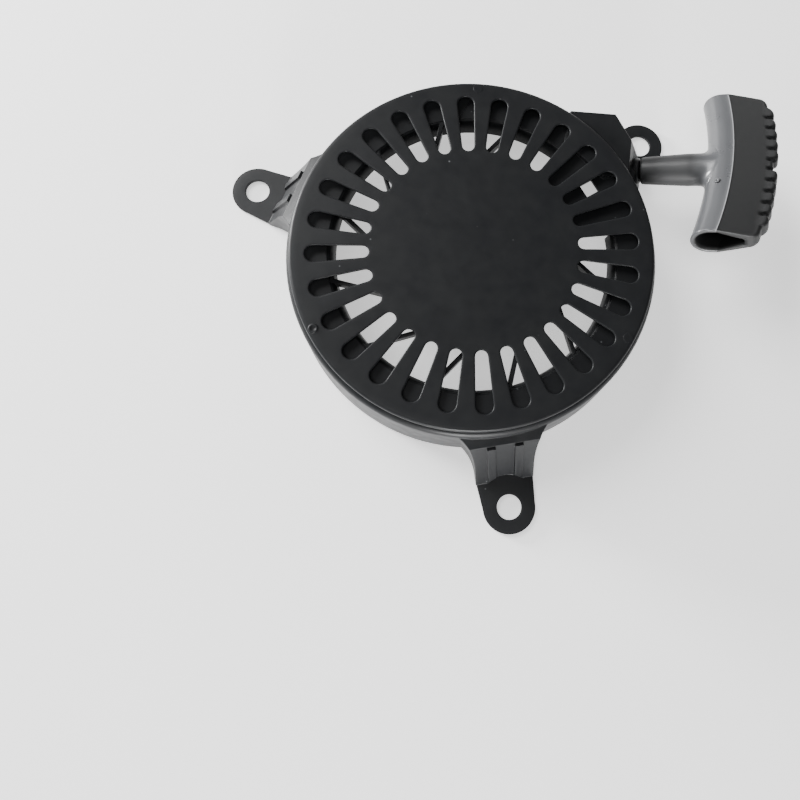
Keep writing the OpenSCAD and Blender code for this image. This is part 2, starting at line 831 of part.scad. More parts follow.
module handle_washer() {
    color(ZINC) on_handle() rotate([0, 90, 0]) translate([0, 0, seat_x]) difference() {
        cylinder(r = seat_r, h = seat_t);
        translate([0, 0, -1]) cylinder(r = stem_bore_r, h = seat_t + 2);
    }
}

module handle_knot() {
    color(ROPE_GREY) on_handle() translate([seat_x + seat_t + knot_r, 0, 0]) sphere(r = knot_r, $fn = 32);
}

screen_disc();
screen_rivets();
housing();
centre_post();
rope_guide();
rope_lead();
recoil_spring();
centre_screw();
retaining_washer();
brake_spring();
pulley();
spring_cover();
rope_coil();
pulley_knot();
pawl_pins();
pawl_spring(pawl_angles[0]);  // pawl_spring_1
pawl_spring(pawl_angles[1]);  // pawl_spring_2
cam_plate();
pawl(pawl_angles[0]);  // pawl_1
pawl(pawl_angles[1]);  // pawl_2
handle_grip();
handle_washer();
handle_knot();
rope_tail();
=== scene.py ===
"""Looks of a recoil starter: a slotted black screen on a drawn steel housing, and its T-handle.

Lengths inside the classes are millimetres in the part's own frame; meshes are written in metres.
"""

import json
import logging
import math
from dataclasses import dataclass, field
from enum import Enum
from typing import Any, Optional

import bmesh
import bpy
import numpy as np
from mathutils import Matrix, Vector

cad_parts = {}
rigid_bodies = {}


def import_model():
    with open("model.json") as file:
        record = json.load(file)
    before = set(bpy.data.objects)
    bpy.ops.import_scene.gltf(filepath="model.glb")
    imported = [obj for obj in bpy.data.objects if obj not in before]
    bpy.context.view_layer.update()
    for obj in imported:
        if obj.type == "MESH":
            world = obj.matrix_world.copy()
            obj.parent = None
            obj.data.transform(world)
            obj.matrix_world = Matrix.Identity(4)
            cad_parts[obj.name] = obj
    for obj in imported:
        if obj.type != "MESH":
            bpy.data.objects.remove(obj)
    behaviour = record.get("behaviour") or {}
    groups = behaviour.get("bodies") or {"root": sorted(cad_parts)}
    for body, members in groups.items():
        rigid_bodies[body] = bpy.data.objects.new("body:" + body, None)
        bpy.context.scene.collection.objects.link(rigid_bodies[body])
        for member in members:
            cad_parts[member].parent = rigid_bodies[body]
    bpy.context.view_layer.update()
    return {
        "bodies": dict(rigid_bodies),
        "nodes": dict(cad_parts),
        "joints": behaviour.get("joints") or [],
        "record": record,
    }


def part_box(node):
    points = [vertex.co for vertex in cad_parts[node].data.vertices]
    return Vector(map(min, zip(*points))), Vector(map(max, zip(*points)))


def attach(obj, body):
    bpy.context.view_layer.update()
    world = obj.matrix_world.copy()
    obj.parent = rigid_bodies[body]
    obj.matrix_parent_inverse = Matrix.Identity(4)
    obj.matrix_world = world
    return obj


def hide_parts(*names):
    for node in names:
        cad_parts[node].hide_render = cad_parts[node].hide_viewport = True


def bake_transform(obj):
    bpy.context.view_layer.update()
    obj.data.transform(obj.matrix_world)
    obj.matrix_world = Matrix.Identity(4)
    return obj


LOG = logging.getLogger("recoil_starter")
MM = 0.001
TAU = 2.0 * math.pi

# Points of a worked-out surface nearer than this become one, and so do those of a CAD copy
MERGE_MM = 0.004
COPY_MERGE_MM = 0.002
SLIVER_MM = 0.0005

# Pattern scales, as repeats in a metre: mottling of a colour is about 22 mm across, clouds of
# gloss and cells that may hold a speck of dust 6 mm, and clouds in moulded plastic 14 mm
MOTTLE = 45.0
CLOUD = 160.0
SPECK_CELLS = 160.0
PLASTIC_CLOUD = 70.0

# The Mix node's colour inputs and colour result, by their places
MIX_A, MIX_B, MIX_OUT = 6, 7, 2

Points = np.ndarray
Materials = dict[str, bpy.types.Material]


# ---------------------------------------------------------------- colours and nodes


def linear(hex_colour: str) -> tuple[float, float, float, float]:
    """Turns an sRGB hex colour into the linear colour that shaders use.

    The curve is straight at its foot, and a power of 2.4 above it.

    Args:
        hex_colour: six hex digits with or without a leading #.

    Returns:
        Linear red, green, blue and an alpha of one.
    """
    digits = hex_colour.lstrip("#")
    srgb = np.array([int(digits[i:i + 2], 16) for i in (0, 2, 4)]) / 255.0
    value = np.where(srgb <= 0.04045, srgb / 12.92, ((srgb + 0.055) / 1.055) ** 2.4)
    return (float(value[0]), float(value[1]), float(value[2]), 1.0)


def add_node(tree: bpy.types.NodeTree, kind: str, settings: Optional[dict[Any, Any]] = None,
             links: Optional[dict[Any, bpy.types.NodeSocket]] = None, **attributes: Any) -> bpy.types.Node:
    """Adds one shader node with its values and its incoming links.

    Args:
        tree: the node tree.
        kind: the node's type name.
        settings: input socket name or index to its value.
        links: input socket name or index to the output socket that feeds it.
        attributes: the node's own properties, such as an operation.

    Returns:
        The new node.
    """
    node = tree.nodes.new(kind)
    for name, value in attributes.items():
        setattr(node, name, value)
    for name, value in (settings or {}).items():
        node.inputs[name].default_value = value
    for name, source in (links or {}).items():
        tree.links.new(source, node.inputs[name])
    return node


class Grain(Enum):
    """How a surface's fine relief is laid."""

    ORANGE_PEEL = "orange peel of sprayed enamel"
    SPARK = "spark-eroded mould texture"
    TURNED = "rings left by a lathe"
    ROLLED = "lines of rolled sheet"


@dataclass(frozen=True)
class Finish:
    """A surface finish with procedural colour, gloss and relief. Sizes are millimetres."""

    name: str
    colour: str
    colour_low: str
    metallic: float
    roughness: float
    roughness_spread: float
    grain: Grain
    grain_mm: float
    relief_mm: float
    speck: float = 0.0
    speck_colour: str = "#8a8d90"
    ior: float = 1.5

    def build(self) -> bpy.types.Material:
        """Makes the material: mottled colour, uneven gloss, fine relief and stray specks.

        Returns:
            The new material.
        """
        material = bpy.data.materials.new(self.name)
        material.use_nodes = True
        tree = material.node_tree
        shader = tree.nodes["Principled BSDF"]
        shader.inputs["Metallic"].default_value = self.metallic
        shader.inputs["IOR"].default_value = self.ior
        place = add_node(tree, "ShaderNodeTexCoord").outputs["Object"]
        mottle = add_node(tree, "ShaderNodeTexNoise", {"Scale": MOTTLE, "Detail": 6.0, "Roughness": 0.6},
                          {"Vector": place})
        share = add_node(tree, "ShaderNodeMapRange", {"From Min": 0.35, "From Max": 0.65},
                         {"Value": mottle.outputs["Fac"]})
        colour = add_node(tree, "ShaderNodeMix", {MIX_A: linear(self.colour_low), MIX_B: linear(self.colour)},
                          {"Factor": share.outputs["Result"]}, data_type="RGBA")
        base = colour.outputs[MIX_OUT]
        if self.speck > 0.0:
            base = self._specks(tree, place, base)
        tree.links.new(base, shader.inputs["Base Color"])
        cloud = add_node(tree, "ShaderNodeTexNoise", {"Scale": CLOUD, "Detail": 4.0}, {"Vector": place})
        gloss = add_node(tree, "ShaderNodeMapRange",
                         {"From Min": 0.3, "From Max": 0.7,
                          "To Min": self.roughness - self.roughness_spread,
                          "To Max": self.roughness + self.roughness_spread},
                         {"Value": cloud.outputs["Fac"]})
        tree.links.new(gloss.outputs["Result"], shader.inputs["Roughness"])
        bump = add_node(tree, "ShaderNodeBump", {"Strength": 0.6, "Distance": self.relief_mm * MM},
                        {"Height": self._grain_height(tree, place)})
        tree.links.new(bump.outputs["Normal"], shader.inputs["Normal"])
        return material

    def _specks(self, tree: bpy.types.NodeTree, place: bpy.types.NodeSocket,
                base: bpy.types.NodeSocket) -> bpy.types.NodeSocket:
        """Scatters pale dust specks about half a millimetre wide, one in every eighth cell or so.

        Args:
            tree: the material's node tree.
            place: the point on the piece.
            base: the colour under the specks.

        Returns:
            The colour with the specks on it.
        """
        cells = add_node(tree, "ShaderNodeTexVoronoi", {"Scale": SPECK_CELLS, "Randomness": 1.0},
                         {"Vector": place})
        near = add_node(tree, "ShaderNodeMapRange",
                        {"From Min": 0.04, "From Max": 0.1, "To Min": 1.0, "To Max": 0.0},
                        {"Value": cells.outputs["Distance"]})
        rare = add_node(tree, "ShaderNodeSeparateColor", links={"Color": cells.outputs["Color"]})
        chosen = add_node(tree, "ShaderNodeMapRange",
                          {"From Min": 0.86, "From Max": 0.9, "To Max": self.speck},
                          {"Value": rare.outputs["Red"]})
        amount = add_node(tree, "ShaderNodeMath",
                          links={0: near.outputs["Result"], 1: chosen.outputs["Result"]},
                          operation="MULTIPLY")
        mix = add_node(tree, "ShaderNodeMix", {MIX_B: linear(self.speck_colour)},
                       {"Factor": amount.outputs[0], MIX_A: base}, data_type="RGBA")
        return mix.outputs[MIX_OUT]

    def _grain_height(self, tree: bpy.types.NodeTree,
                      place: bpy.types.NodeSocket) -> bpy.types.NodeSocket:
        """Gives the relief's height, drawn coarser than the real grain so that it shows.

        Lathe rings stand about six grain sizes apart, the hills of the others two, and the
        lines of rolled sheet are twelve times longer than they are wide.

        Args:
            tree: the material's node tree.
            place: the point on the piece.

        Returns:
            The height, from 0 to 1.
        """
        scale = 1.0 / (self.grain_mm * MM)
        if self.grain is Grain.TURNED:
            rings = add_node(tree, "ShaderNodeTexWave", {"Scale": scale / 20.0, "Distortion": 0.4},
                             {"Vector": place}, wave_type="RINGS", rings_direction="Z")
            return rings.outputs["Fac"]
        stretch = (1.0, 12.0, 1.0) if self.grain is Grain.ROLLED else (1.0, 1.0, 1.0)
        moved = add_node(tree, "ShaderNodeMapping", {"Scale": stretch}, {"Vector": place})
        detail = 2.0 if self.grain is Grain.ORANGE_PEEL else 8.0
        noise = add_node(tree, "ShaderNodeTexNoise", {"Scale": scale / 2.0, "Detail": detail},
                         {"Vector": moved.outputs["Vector"]})
        return noise.outputs["Fac"]


# Sprayed and stoved enamel over sheet steel: near black, satin, with a faint orange peel
ENAMEL = Finish("satin_black_enamel", "#1c1d1e", "#17181a", 0.0, 0.42, 0.05, Grain.ORANGE_PEEL,
                1.6, 0.02, speck=0.35, ior=1.27)
# Turned mild steel: bright, with lathe rings
BARE_STEEL = Finish("turned_mild_steel", "#a4a6a8", "#8d8f92", 1.0, 0.34, 0.06, Grain.TURNED, 0.4, 0.01)
# Zinc plate with clear passivate: a pale warm grey metal
ZINC = Finish("zinc_plated_steel", "#b9b8b0", "#a6a59e", 1.0, 0.3, 0.07, Grain.ROLLED, 0.5, 0.01)
# Blued spring strip: dark and springy, with rolling lines
SPRING_STEEL = Finish("blued_spring_steel", "#41474f", "#343940", 1.0, 0.32, 0.05, Grain.ROLLED, 0.3, 0.01)
# Glass-filled nylon: black, dull, with fibres just under the skin
NYLON = Finish("glass_filled_nylon", "#1d1e1f", "#151617", 0.0, 0.55, 0.06, Grain.SPARK, 0.5, 0.03)


# ---------------------------------------------------------------- meshes


@dataclass
class Sheet:
    """Grids of points that together become one mesh. Each grid is rows by columns by xyz."""

    name: str
    points: list[Points] = field(default_factory=list)
    quads: list[np.ndarray] = field(default_factory=list)
    values: list[np.ndarray] = field(default_factory=list)
    count: int = 0

    def add(self, grid: Points, wrap_rows: bool = False, wrap_columns: bool = False,
            value: Any = 0.0) -> None:
        """Adds a grid and the quads between its neighbouring points.

        Args:
            grid: array of rows, columns and xyz in millimetres.
            wrap_rows: whether the last row joins the first.
            wrap_columns: whether the last column joins the first.
            value: number or array of rows by columns, kept as the attribute "zone".
        """
        rows, columns = grid.shape[:2]
        index = np.arange(rows * columns).reshape(rows, columns) + self.count
        if wrap_rows:
            index = np.vstack([index, index[:1]])
        if wrap_columns:
            index = np.hstack([index, index[:, :1]])
        quads = np.stack([index[:-1, :-1], index[:-1, 1:], index[1:, 1:], index[1:, :-1]], axis=-1)
        self.points.append(grid.reshape(-1, 3))
        self.quads.append(quads.reshape(-1, 4))
        self.values.append(np.broadcast_to(np.asarray(value, float), (rows, columns)).reshape(-1))
        self.count += rows * columns

    def build(self) -> bpy.types.Object:
        """Makes the object: points in metres, doubles merged, faces turned outwards, smooth.

        Returns:
            The linked object, at the origin.
        """
        points = np.vstack(self.points) * MM
        quads = np.vstack(self.quads)
        mesh = bpy.data.meshes.new(self.name)
        mesh.from_pydata(points.tolist(), [], quads.tolist())
        zone = mesh.attributes.new("zone", "FLOAT", "POINT")
        zone.data.foreach_set("value", np.concatenate(self.values).astype(np.float32))
        work = bmesh.new()
        work.from_mesh(mesh)
        bmesh.ops.remove_doubles(work, verts=work.verts, dist=MERGE_MM * MM)
        bmesh.ops.dissolve_degenerate(work, edges=work.edges, dist=SLIVER_MM * MM)
        bmesh.ops.recalc_face_normals(work, faces=work.faces)
        work.to_mesh(mesh)
        work.free()
        mesh.shade_smooth()
        piece = bpy.data.objects.new(self.name, mesh)
        bpy.context.collection.objects.link(piece)
        return piece


def revolve(profile: Points, steps: int, start: float = 0.0) -> Points:
    """Carries a profile of radius and height once round the Z axis.

    Args:
        profile: array of (r, z) rows.
        steps: number of angles; the last is a step short of the first, so that it can be wrapped.
        start: first angle in radians.

    Returns:
        Grid of angles by profile points.
    """
    angle = start + np.linspace(0.0, TAU, steps, endpoint=False)
    ring = np.stack([np.cos(angle), np.sin(angle)], axis=-1)
    grid = np.empty((steps, len(profile), 3))
    grid[..., :2] = ring[:, None, :] * profile[None, :, :1]
    grid[..., 2] = profile[None, :, 1]
    return grid


def arc(cx: float, cy: float, radius: float, start: float, end: float, count: int) -> Points:
    """Points on an arc in a plane, with its angles in degrees."""
    angle = np.radians(np.linspace(start, end, count))
    return np.stack([cx + radius * np.cos(angle), cy + radius * np.sin(angle)], axis=-1)


def between(start: Points, end: Points, count: int) -> Points:
    """Points evenly spaced on the straight line between two others, without its ends."""
    return start + np.linspace(0.0, 1.0, count + 2)[1:-1, None] * (end - start)


def spun(points: Points, degrees: float) -> Points:
    """Turns points about the Z axis.

    Args:
        points: array that ends in xyz.
        degrees: how far, anticlockwise from above.

    Returns:
        The turned points.
    """
    c, s = math.cos(math.radians(degrees)), math.sin(math.radians(degrees))
    turn = np.array([[c, -s, 0.0], [s, c, 0.0], [0.0, 0.0, 1.0]])
    return points @ turn.T


def dress(piece: bpy.types.Object, material: bpy.types.Material) -> None:
    """Gives a piece one material in place of whatever it had."""
    piece.data.materials.clear()
    piece.data.materials.append(material)


def top_corner(node: str) -> np.ndarray:
    """A CAD node's highest corner in millimetres."""
    return np.array(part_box(node)[1]) / MM


# ---------------------------------------------------------------- camera, floor and light


@dataclass(frozen=True)
class Lamp:
    """One soft round lamp that points at the starter's middle, placed in metres; power is in watts."""

    name: str
    place: tuple[float, float, float]
    size: float
    power: float
    aim: tuple[float, float, float] = (0.0, 0.0, 0.02)

    def build(self) -> None:
        """Adds the lamp and turns it to its aim."""
        data = bpy.data.lights.new(self.name, "AREA")
        data.shape = "DISK"
        data.size = self.size
        data.energy = self.power
        lamp = bpy.data.objects.new(self.name, data)
        bpy.context.collection.objects.link(lamp)
        lamp.location = self.place
        lamp.rotation_mode = "QUATERNION"
        lamp.rotation_quaternion = (Vector(self.place) - Vector(self.aim)).to_track_quat("Z", "Y")


@dataclass(frozen=True)
class Studio:
    """Camera, floor and lights. The camera's place is in the part's frame, in millimetres.

    The key and the near lamp fade over the dark top faces from left to right, the low side lamp
    catches rims and slot walls, the low front lamp the lug ramps, and the far one lifts the grip.
    """

    eye: tuple[float, float, float] = (0.9, -119.3, 372.4)
    right: tuple[float, float, float] = (0.9874, 0.1411, 0.0712)
    up: tuple[float, float, float] = (-0.1537, 0.9619, 0.2262)
    sensor: float = 36.0
    lens: float = 31.92
    shift: tuple[float, float] = (-0.1125, -0.0875)
    floor_side: float = 6000.0
    floor_drop: float = 0.4
    floor_glow: float = 0.75
    surround: float = 0.1
    lamps: tuple[Lamp, ...] = (
        Lamp("key", (-0.95, 0.6, 1.05), 0.9, 29.0),
        Lamp("near", (-0.12, -0.4, 1.35), 0.5, 5.0),
        Lamp("front", (0.15, -1.2, 0.14), 0.3, 28.0),
        Lamp("far", (0.35, 1.3, 0.8), 0.8, 3.0),
        Lamp("side", (-1.25, 0.4, 0.22), 0.35, 52.0),
    )

    def camera(self) -> None:
        """Makes the camera that looks down on the starter from the side of its lower lug."""
        data = bpy.data.cameras.new("camera")
        data.sensor_width = self.sensor
        data.lens = self.lens
        data.shift_x, data.shift_y = self.shift
        data.clip_start = 0.01
        camera = bpy.data.objects.new("camera", data)
        bpy.context.collection.objects.link(camera)
        x = Vector(self.right).normalized()
        z = x.cross(Vector(self.up)).normalized()
        y = z.cross(x)
        turn = Matrix((x, y, z)).transposed().to_4x4()
        camera.matrix_world = Matrix.Translation(Vector(self.eye) * MM) @ turn
        bpy.context.scene.camera = camera

    def floor(self) -> None:
        """Lays the plain pale floor under the lugs: an opal light table, so it shows through slots."""
        bpy.ops.mesh.primitive_plane_add(size=self.floor_side * MM,
                                         location=(0.0, 0.0, -self.floor_drop * MM))
        floor = bpy.context.object
        floor.name = "floor"
        material = bpy.data.materials.new("pale_floor")
        material.use_nodes = True
        shader = material.node_tree.nodes["Principled BSDF"]
        shader.inputs["Base Color"].default_value = linear("#f4f4f4")
        shader.inputs["Roughness"].default_value = 0.9
        shader.inputs["Emission Color"].default_value = linear("#ffffff")
        shader.inputs["Emission Strength"].default_value = self.floor_glow
        dress(floor, material)

    def light(self) -> None:
        """Sets a dim white surround and the lamps."""
        world = bpy.data.worlds.new("surround")
        world.use_nodes = True
        background = world.node_tree.nodes["Background"]
        background.inputs["Color"].default_value = linear("#ffffff")
        background.inputs["Strength"].default_value = self.surround
        bpy.context.scene.world = world
        for lamp in self.lamps:
            lamp.build()

    def build(self) -> None:
        """Builds the whole stage."""
        self.camera()
        self.floor()
        self.light()


# ---------------------------------------------------------------- screen disc


@dataclass(frozen=True)
class ScreenDisc:
    """The slotted disc on top of the starter, punched from sheet and turned down at its rim.

    A slot runs from its outer tip to its inner one. Its upper edge is rolled over, with the metal
    dipping a little towards it, and its lower edge is broken.
    """

    slots: int = 28
    first_slot: float = -1.0
    outer_tip: float = 82.0
    inner_tip: float = 51.4
    outer_width: float = 8.5
    inner_width: float = 6.2
    thickness: float = 1.2
    flat_outer: float = 85.2
    flat_inner: float = 47.5
    roll: float = 0.55
    roll_margin: float = 2.2
    dip: float = 0.02
    broken_edge: float = 0.12
    under_ring: float = 0.5
    rim_depth: float = 3.0
    rim_bend: float = 0.6
    rim_round: float = 0.25
    rim_break: float = 0.2
    centre_rings: tuple[float, ...] = (38.0, 26.0, 14.0, 5.0, 0.0)
    outer_points: int = 13
    side_points: int = 11
    inner_points: int = 9
    roll_points: int = 6
    rim_points: int = 10
    rim_inner_points: int = 5

    def slot_contour(self) -> tuple[Points, Points, Points]:
        """Points round one slot, their normals into the metal, and the sector border beyond.

        The contour is an outer arc, a straight side, an inner arc and the other side; each of its
        stretches faces one side of the sector, with as many points.

        Returns:
            Contour, normals and border, each an array of x and y.
        """
        ro, ri = self.outer_width / 2, self.inner_width / 2
        xo, xi = self.outer_tip - ro, self.inner_tip + ri
        half = 180.0 / self.slots
        outer_arc = arc(xo, 0.0, ro, -90.0, 90.0, self.outer_points)
        inner_arc = arc(xi, 0.0, ri, 90.0, 270.0, self.inner_points)
        contour = np.vstack([
            outer_arc, between(outer_arc[-1], inner_arc[0], self.side_points),
            inner_arc, between(inner_arc[-1], outer_arc[0], self.side_points),
        ])
        angle = np.radians(np.concatenate([
            np.linspace(-90.0, 90.0, self.outer_points), np.full(self.side_points, 90.0),
            np.linspace(90.0, 270.0, self.inner_points), np.full(self.side_points, 270.0),
        ]))
        normals = np.stack([np.cos(angle), np.sin(angle)], axis=-1)
        outer_border = arc(0.0, 0.0, self.flat_outer, -half, half, self.outer_points)
        inner_border = arc(0.0, 0.0, self.flat_inner, half, -half, self.inner_points)
        border = np.vstack([
            outer_border, between(outer_border[-1], inner_border[0], self.side_points),
            inner_border, between(inner_border[-1], outer_border[0], self.side_points),
        ])
        return contour, normals, border

    def sector(self, top: float) -> Points:
        """One sector's metal: flat, rolled over into the slot, down its wall and back below.

        Args:
            top: height of the disc's upper face.

        Returns:
            Grid of rings from the upper border to the lower one.
        """
        contour, normals, border = self.slot_contour()
        bend = np.radians(np.linspace(0.0, 90.0, self.roll_points))
        under = top - self.thickness
        offsets = np.concatenate([
            [self.roll * self.roll_margin], self.roll * (1.0 - np.sin(bend)),
            [0.0, self.broken_edge, self.under_ring],
        ])
        heights = np.concatenate([
            [top - self.dip], top - self.dip - self.roll * (1.0 - np.cos(bend)),
            [under + self.broken_edge, under, under],
        ])
        rings = contour[None] + normals[None] * offsets[:, None, None]
        grid = np.empty((len(offsets) + 2, len(contour), 3))
        grid[1:-1, :, :2] = rings
        grid[1:-1, :, 2] = heights[:, None]
        grid[0, :, :2] = grid[-1, :, :2] = border
        grid[0, :, 2], grid[-1, :, 2] = top, under
        return grid

    def rim(self, radius: float, top: float) -> Points:
        """The turned-down rim's section, from the flat over the bend, round its edge and back.

        Args:
            radius: the rim's outer radius.
            top: height of the disc's upper face.

        Returns:
            Array of (r, z) rows.
        """
        foot = top - self.rim_depth
        inside = radius - self.thickness
        bend = self.thickness + self.rim_bend
        return np.vstack([
            [[self.flat_outer, top]], arc(radius - bend, top - bend, bend, 90.0, 0.0, self.rim_points),
            [[radius, foot + self.rim_round], [radius - self.rim_round, foot],
             [inside + self.rim_break, foot], [inside, foot + self.rim_break]],
            arc(radius - bend, top - bend, self.rim_bend, 0.0, 90.0, self.rim_inner_points),
            [[self.flat_outer, top - self.thickness]],
        ])

    def build(self, finishes: Materials) -> bpy.types.Object:
        """Builds the disc: sectors, blank centre and rolled rim.

        Args:
            finishes: slot name to material.

        Returns:
            The piece.
        """
        corner = top_corner("screen_disc")
        radius, top = float(corner[0]), float(corner[2])
        sheet = Sheet("screen_disc_punched")
        sector = self.sector(top)
        for k in range(self.slots):
            sheet.add(spun(sector, self.first_slot + k * 360.0 / self.slots), wrap_columns=True)
        edge = math.radians(self.first_slot - 180.0 / self.slots)
        sheet.add(revolve(self.rim(radius, top), self.slots * (self.outer_points - 1), edge),
                  wrap_rows=True)
        radii = np.array([self.flat_inner, *self.centre_rings])
        for level in (top, top - self.thickness):
            face = np.stack([radii, np.full(len(radii), level)], axis=-1)
            sheet.add(revolve(face, self.slots * (self.inner_points - 1), edge), wrap_rows=True)
        piece = sheet.build()
        dress(piece, finishes["black_steel"])
        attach(piece, "root")
        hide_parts("screen_disc")
        return piece


@dataclass(frozen=True)
class ScreenRivets:
    """The rivets at the disc's edge: one has a dished head, the others are filled over.

    The head's section is given by radii, in shares of its own, and levels, in shares of its height.
    """

    circle: float = 86.6
    angles: tuple[float, ...] = (217.3, 337.3, 97.3)
    heights: tuple[float, ...] = (0.45, 0.03, 0.03)
    head: float = 2.5
    sides: int = 32
    radii: tuple[float, ...] = (0.0, 1.0, 1.0, 0.94, 0.84, 0.68, 0.52, 0.4, 0.3, 0.0)
    levels: tuple[float, ...] = (-1.0, -1.0, 0.0, 0.6, 0.9, 1.0, 0.85, 0.3, 0.15, 0.15)

    def build(self, finishes: Materials) -> bpy.types.Object:
        """Builds the heads, each a turned dome whose middle is sunk by most of its height.

        Args:
            finishes: slot name to material.

        Returns:
            The piece.
        """
        top = float(top_corner("screen_disc")[2])
        sheet = Sheet("rivet_heads")
        for angle, height in zip(self.angles, self.heights):
            profile = np.stack([np.array(self.radii) * self.head,
                                top + np.array(self.levels) * height], axis=-1)
            grid = revolve(profile, self.sides) + np.array([self.circle, 0.0, 0.0])
            sheet.add(spun(grid, angle), wrap_rows=True)
        piece = sheet.build()
        dress(piece, finishes["black_steel"])
        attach(piece, "root")
        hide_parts("screen_rivets")
        return piece


# ---------------------------------------------------------------- T-handle


@dataclass(frozen=True)
class GripPlastic:
    """Dark grey moulded plastic: polished round front with a painted sheen, spark-eroded flats and a fine
    flash line.

    The spark-eroded texture is drawn about half a millimetre coarse, so that it shows.
    """

    name: str = "moulded_grip_plastic"
    # the round front is coloured lighter than the flats as a painted sheen of the lamps on the left; the
    # flats have the plastic's own dark colour
    front: str = "#4a4b4d"
    flats: str = "#0e0f10"
    flash: str = "#8a8b8d"
    front_roughness: float = 0.3
    flats_roughness: float = 0.62
    texture: float = 1900.0
    texture_mm: float = 0.08
    texture_on_front: float = 0.12

    def build(self) -> bpy.types.Material:
        """Makes the material, which reads the piece's zone: 0 flats, 1 round front with its painted sheen, 2
        flash line.

        Returns:
            The new material.
        """
        material = bpy.data.materials.new(self.name)
        material.use_nodes = True
        tree = material.node_tree
        shader = tree.nodes["Principled BSDF"]
        shader.inputs["IOR"].default_value = 1.5
        shader.inputs["Coat Weight"].default_value = 0.1
        shader.inputs["Coat Roughness"].default_value = 0.2
        zone = add_node(tree, "ShaderNodeAttribute", attribute_name="zone").outputs["Fac"]
        place = add_node(tree, "ShaderNodeTexCoord").outputs["Object"]
        cloud = add_node(tree, "ShaderNodeTexNoise", {"Scale": PLASTIC_CLOUD, "Detail": 5.0},
                         {"Vector": place}).outputs["Fac"]
        # the zone mixes the flats' own dark colour with the front's lighter painted sheen
        colour = add_node(tree, "ShaderNodeMix", {MIX_A: linear(self.flats), MIX_B: linear(self.front)},
                          {"Factor": zone}, data_type="RGBA")
        on_line = add_node(tree, "ShaderNodeMapRange", {"From Min": 1.0, "From Max": 1.6}, {"Value": zone})
        line = add_node(tree, "ShaderNodeMix", {MIX_B: linear(self.flash)},
                        {"Factor": on_line.outputs["Result"], MIX_A: colour.outputs[MIX_OUT]},
                        data_type="RGBA")
        faded = add_node(tree, "ShaderNodeMix", {"Factor": 0.12},
                         {MIX_A: line.outputs[MIX_OUT], MIX_B: cloud},
                         data_type="RGBA", blend_type="MULTIPLY")
        tree.links.new(faded.outputs[MIX_OUT], shader.inputs["Base Color"])
        gloss = add_node(tree, "ShaderNodeMapRange",
                         {"To Min": self.flats_roughness, "To Max": self.front_roughness},
                         {"Value": zone})
        uneven = add_node(tree, "ShaderNodeMapRange",
                          {"From Min": 0.3, "From Max": 0.7, "To Min": -0.04, "To Max": 0.05},
                          {"Value": cloud})
        rough = add_node(tree, "ShaderNodeMath",
                         links={0: gloss.outputs["Result"], 1: uneven.outputs["Result"]}, operation="ADD")
        tree.links.new(rough.outputs[0], shader.inputs["Roughness"])
        texture = add_node(tree, "ShaderNodeTexNoise", {"Scale": self.texture, "Detail": 3.0},
                           {"Vector": place})
        depth = add_node(tree, "ShaderNodeMapRange", {"To Min": 1.0, "To Max": self.texture_on_front},
                         {"Value": zone})
        height = add_node(tree, "ShaderNodeMath",
                          links={0: texture.outputs["Fac"], 1: depth.outputs["Result"]},
                          operation="MULTIPLY")
        bump = add_node(tree, "ShaderNodeBump", {"Strength": 0.35, "Distance": self.texture_mm * MM},
                        {"Height": height.outputs[0]})
        tree.links.new(bump.outputs["Normal"], shader.inputs["Normal"])
        return material


@dataclass(frozen=True)
class PullLine:
    """The pull's frame: origin at the guide's mouth, X along the pull, Y along the grip."""

    mouth: tuple[float, float, float] = (81.6, 63.7, 27.0)
    tilt: float = 22.7
    roll: float = -12.0

    def axes(self) -> Points:
        """Works out the three axes: the pull is tilted up, and the grip rolled about it.

        Returns:
            The axes as rows, in the part's frame.
        """
        t, r = math.radians(self.tilt), math.radians(self.roll)
        x = np.array([math.cos(t), 0.0, math.sin(t)])
        y0 = np.array([0.0, 1.0, 0.0])
        z0 = np.cross(x, y0)
        y = math.cos(r) * y0 + math.sin(r) * z0
        return np.array([x, y, np.cross(x, y)])

    def place(self, points: Points) -> Points:
        """Takes points from the pull's frame to the part's."""
        return points @ self.axes() + np.array(self.mouth)


@dataclass(frozen=True)
class Nub:
    """The little stub that the moulding gate leaves on the grip's round front below the stem.

    It lies at a place along the grip and leans from the pull's line, and its section is radii
    and heights above the front.
    """

    along: float = -15.0
    lean: float = 72.0
    sides: int = 20
    section: tuple[tuple[float, float], ...] = (
        (0.0, -1.0), (1.5, -1.0), (1.45, 0.3), (1.2, 0.75), (0.7, 0.9), (0.6, 0.6), (0.0, 0.55),
    )

    def grid(self, axis: Points, radius: float) -> Points:
        """Stands the stub square on the front.

        Args:
            axis: the point on the front's own axis beside the stub.
            radius: the front's radius.

        Returns:
            Grid of angles by section points in the pull's frame.
        """
        lean = math.radians(self.lean)
        out = np.array([-math.cos(lean), 0.0, math.sin(lean)])
        along = np.array([0.0, 1.0, 0.0])
        dome = revolve(np.array(self.section), self.sides)
        turned = dome[..., :1] * along + dome[..., 1:2] * np.cross(along, out) + dome[..., 2:] * out
        return turned + axis + radius * out


